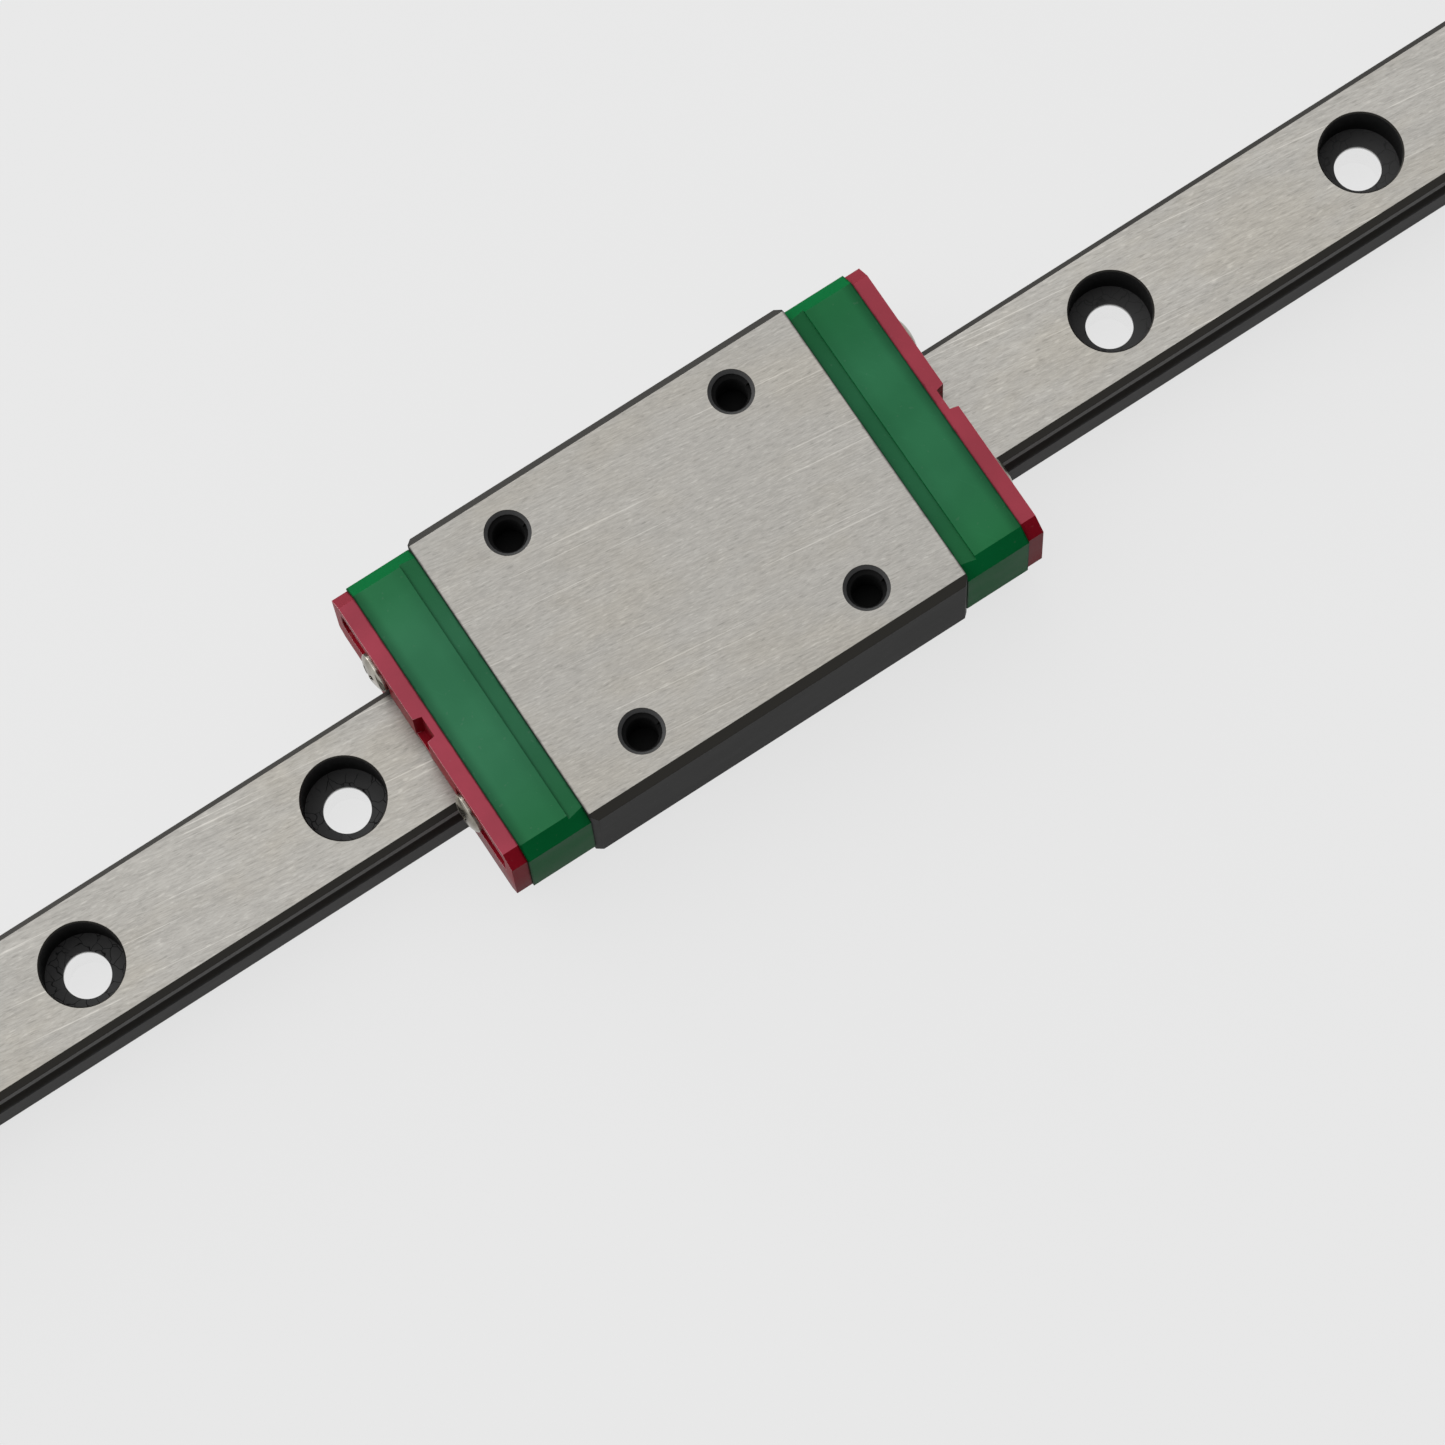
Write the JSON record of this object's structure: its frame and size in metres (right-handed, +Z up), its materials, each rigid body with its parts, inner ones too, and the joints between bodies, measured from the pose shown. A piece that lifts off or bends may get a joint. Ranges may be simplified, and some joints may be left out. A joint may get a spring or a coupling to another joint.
{
  "type": "linear guide rail with block",
  "caption": "Miniature profile rail with counterbored fixing holes and a long ball-bearing carriage with tapped holes that slides along it.",
  "frame": {"origin": "middle of the rail's base, at the floor", "axes": "+X along the rail, +Y across it, +Z up from the mounting face"},
  "size_m": [0.15, 0.017, 0.008],
  "materials": {
    "rail_steel": "ground bearing steel, dark sides",
    "block_steel": "ground bearing steel, dark sides",
    "cap_plastic": "moulded green plastic, satin",
    "seal_plastic": "moulded red plastic, satin",
    "screw_steel": "plated",
    "ball_steel": "polished bearing balls"
  },
  "bodies": {
    "rail": {"rail": "rail_steel"},
    "carriage": {"carriage_block": "block_steel", "end_cap_right": "cap_plastic", "end_cap_left": "cap_plastic", "end_seal_right": "seal_plastic", "end_seal_left": "seal_plastic", "seal_screw_right_far": "screw_steel", "seal_screw_right_near": "screw_steel", "seal_screw_left_far": "screw_steel", "seal_screw_left_near": "screw_steel", "ball_circuit_far": "ball_steel", "ball_circuit_near": "ball_steel"}
  },
  "joints": [
    {"name": "carriage_slide", "type": "slide", "parent": "rail", "child": "carriage", "axis": [1, 0, 0], "range_m": [-0.057, 0.0618]}
  ]
}
